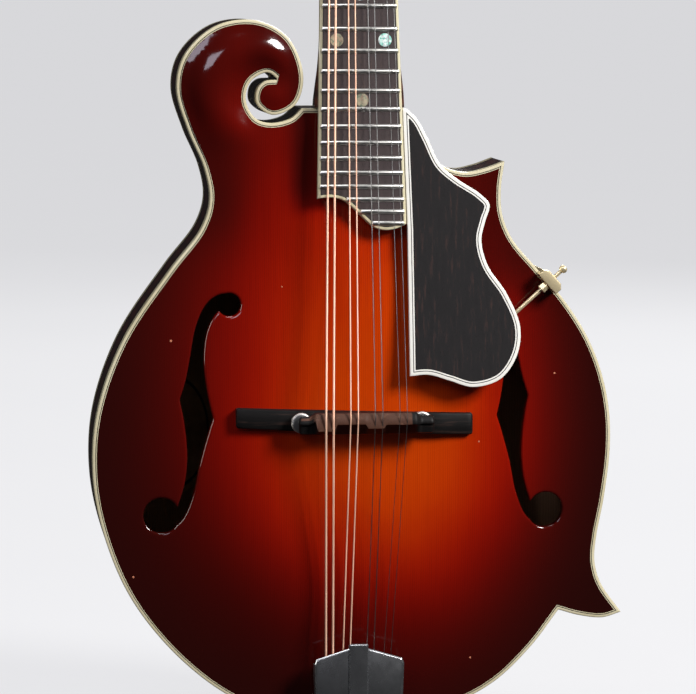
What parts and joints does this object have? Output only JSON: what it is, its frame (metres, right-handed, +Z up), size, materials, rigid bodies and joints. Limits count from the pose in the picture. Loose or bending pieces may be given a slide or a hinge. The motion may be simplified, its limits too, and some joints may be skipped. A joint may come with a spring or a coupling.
{
  "type": "mandolin",
  "caption": "Scroll-bodied mandolin with f-holes, paired strings, a floating bridge, a raised pickguard, a hinged tailpiece lid and geared tuners.",
  "frame": {"origin": "centre of the strap button's outer end face, on the body's mid-depth", "axes": "+Z up the neck, -Y out of the soundboard, +X towards the treble side"},
  "size_m": [0.2596, 0.1222, 0.6742],
  "materials": {
    "sunburst_top": "high-gloss sunburst lacquer over straight-grained spruce",
    "sunburst_maple": "high-gloss dark red-brown lacquer over maple",
    "bare_wood": "unfinished, inside the body",
    "stained_neck": "red-brown lacquered maple",
    "ebony": "satin, nearly black",
    "binding": "aged ivory, polished",
    "bone": "polished bone",
    "pearl_button": "polished pearloid",
    "nickel": "polished nickel plate",
    "steel": "plain steel",
    "gold_plate": "polished gold plate",
    "bronze_wire": "phosphor bronze winding"
  },
  "bodies": {
    "root": {"top_plate": "sunburst_top", "back_plate": "sunburst_maple", "rim": "sunburst_maple", "top_lining": "bare_wood", "back_lining": "bare_wood", "neck_block": "bare_wood", "tail_block": "bare_wood", "bass_tone_bar": "bare_wood", "treble_tone_bar": "bare_wood", "upper_point_block": "bare_wood", "lower_point_block": "bare_wood", "top_binding": "binding", "back_binding": "binding", "headstock_binding": "binding", "fretboard_binding": "binding", "strap_button": "binding", "neck": "stained_neck", "fretboard": "ebony", "headstock_overlay": "ebony", "truss_rod_cover": "ebony", "bridge_base": "ebony", "pickguard": "ebony", "nut": "bone", "truss_rod": "steel", "frets": "steel", "tailpiece_hinge_pin": "steel", "string_a1": "steel", "string_a2": "steel", "string_e1": "steel", "string_e2": "steel", "string_g1": "bronze_wire", "string_g2": "bronze_wire", "string_d1": "bronze_wire", "string_d2": "bronze_wire", "tailpiece_base": "nickel", "tuner_plate_bass": "nickel", "tuner_plate_treble": "nickel", "pickguard_clamp": "gold_plate", "pickguard_rod": "gold_plate"},
    "saddle": {"bridge_saddle": "ebony"},
    "bass_wheel": {"thumbwheel_bass": "gold_plate"},
    "treble_wheel": {"thumbwheel_treble": "gold_plate"},
    "lid": {"tailpiece_cover": "nickel"},
    "truss_nut": {"truss_rod_nut": "gold_plate"},
    "key_g1": {"tuner_g1": "pearl_button"},
    "peg_g1": {"post_g1": "nickel"},
    "key_g2": {"tuner_g2": "pearl_button"},
    "peg_g2": {"post_g2": "nickel"},
    "key_d1": {"tuner_d1": "pearl_button"},
    "peg_d1": {"post_d1": "nickel"},
    "key_d2": {"tuner_d2": "pearl_button"},
    "peg_d2": {"post_d2": "nickel"},
    "key_a1": {"tuner_a1": "pearl_button"},
    "peg_a1": {"post_a1": "nickel"},
    "key_a2": {"tuner_a2": "pearl_button"},
    "peg_a2": {"post_a2": "nickel"},
    "key_e1": {"tuner_e1": "pearl_button"},
    "peg_e1": {"post_e1": "nickel"},
    "key_e2": {"tuner_e2": "pearl_button"},
    "peg_e2": {"post_e2": "nickel"}
  },
  "joints": [
    {"name": "saddle_height", "type": "slide", "parent": "root", "child": "saddle", "axis": [0, -1, 0], "range_m": [-0.002, 0]},
    {"name": "bass_thumbwheel", "type": "hinge", "parent": "saddle", "child": "bass_wheel", "pos_m": [-0.03, -0.04315, 0.1613], "axis": [0, -1, 0], "range_deg": [-1028.6, 0]},
    {"name": "treble_thumbwheel", "type": "hinge", "parent": "saddle", "child": "treble_wheel", "pos_m": [0.0284, -0.04315, 0.1613], "axis": [0, -1, 0], "range_deg": [-1028.6, 0]},
    {"name": "tailpiece_lid", "type": "hinge", "parent": "root", "child": "lid", "pos_m": [-0.0013, -0.03085, 0.0136], "axis": [1, 0, 0], "range_deg": [0, 90]},
    {"name": "truss_rod_adjuster", "type": "hinge", "parent": "root", "child": "truss_nut", "pos_m": [0, 0.00509, 0.52821], "axis": [0, 0.3649, 0.9311], "range_deg": [-180, 180]},
    {"name": "key_g1_turn", "type": "hinge", "parent": "root", "child": "key_g1", "pos_m": [-0.021, 0.02579, 0.54319], "axis": [1, 0, 0], "continuous": true},
    {"name": "peg_g1_turn", "type": "hinge", "parent": "root", "child": "peg_g1", "pos_m": [-0.021, 0.01177, 0.55674], "axis": [0, -0.9311, 0.3649], "continuous": true},
    {"name": "key_g2_turn", "type": "hinge", "parent": "root", "child": "key_g2", "pos_m": [-0.021, 0.03418, 0.5646], "axis": [1, 0, 0], "continuous": true},
    {"name": "peg_g2_turn", "type": "hinge", "parent": "root", "child": "peg_g2", "pos_m": [-0.021, 0.02016, 0.57815], "axis": [0, -0.9311, 0.3649], "continuous": true},
    {"name": "key_d1_turn", "type": "hinge", "parent": "root", "child": "key_d1", "pos_m": [-0.021, 0.04257, 0.58602], "axis": [1, 0, 0], "continuous": true},
    {"name": "peg_d1_turn", "type": "hinge", "parent": "root", "child": "peg_d1", "pos_m": [-0.021, 0.02855, 0.59957], "axis": [0, -0.9311, 0.3649], "continuous": true},
    {"name": "key_d2_turn", "type": "hinge", "parent": "root", "child": "key_d2", "pos_m": [-0.021, 0.05097, 0.60743], "axis": [1, 0, 0], "continuous": true},
    {"name": "peg_d2_turn", "type": "hinge", "parent": "root", "child": "peg_d2", "pos_m": [-0.021, 0.03694, 0.62098], "axis": [0, -0.9311, 0.3649], "continuous": true},
    {"name": "key_a1_turn", "type": "hinge", "parent": "root", "child": "key_a1", "pos_m": [0.021, 0.05097, 0.60743], "axis": [1, 0, 0], "continuous": true},
    {"name": "peg_a1_turn", "type": "hinge", "parent": "root", "child": "peg_a1", "pos_m": [0.021, 0.03694, 0.62098], "axis": [0, -0.9311, 0.3649], "continuous": true},
    {"name": "key_a2_turn", "type": "hinge", "parent": "root", "child": "key_a2", "pos_m": [0.021, 0.04257, 0.58602], "axis": [1, 0, 0], "continuous": true},
    {"name": "peg_a2_turn", "type": "hinge", "parent": "root", "child": "peg_a2", "pos_m": [0.021, 0.02855, 0.59957], "axis": [0, -0.9311, 0.3649], "continuous": true},
    {"name": "key_e1_turn", "type": "hinge", "parent": "root", "child": "key_e1", "pos_m": [0.021, 0.03418, 0.5646], "axis": [1, 0, 0], "continuous": true},
    {"name": "peg_e1_turn", "type": "hinge", "parent": "root", "child": "peg_e1", "pos_m": [0.021, 0.02016, 0.57815], "axis": [0, -0.9311, 0.3649], "continuous": true},
    {"name": "key_e2_turn", "type": "hinge", "parent": "root", "child": "key_e2", "pos_m": [0.021, 0.02579, 0.54319], "axis": [1, 0, 0], "continuous": true},
    {"name": "peg_e2_turn", "type": "hinge", "parent": "root", "child": "peg_e2", "pos_m": [0.021, 0.01177, 0.55674], "axis": [0, -0.9311, 0.3649], "continuous": true}
  ],
  "couplings": [
    {"joint": "bass_thumbwheel", "follows": "saddle_height", "rad_per_m": 8976},
    {"joint": "treble_thumbwheel", "follows": "saddle_height", "rad_per_m": 8976},
    {"joint": "peg_g1_turn", "follows": "key_g1_turn", "ratio": -0.071429},
    {"joint": "peg_g2_turn", "follows": "key_g2_turn", "ratio": -0.071429},
    {"joint": "peg_d1_turn", "follows": "key_d1_turn", "ratio": -0.071429},
    {"joint": "peg_d2_turn", "follows": "key_d2_turn", "ratio": -0.071429},
    {"joint": "peg_a1_turn", "follows": "key_a1_turn", "ratio": -0.071429},
    {"joint": "peg_a2_turn", "follows": "key_a2_turn", "ratio": -0.071429},
    {"joint": "peg_e1_turn", "follows": "key_e1_turn", "ratio": -0.071429},
    {"joint": "peg_e2_turn", "follows": "key_e2_turn", "ratio": -0.071429}
  ]
}
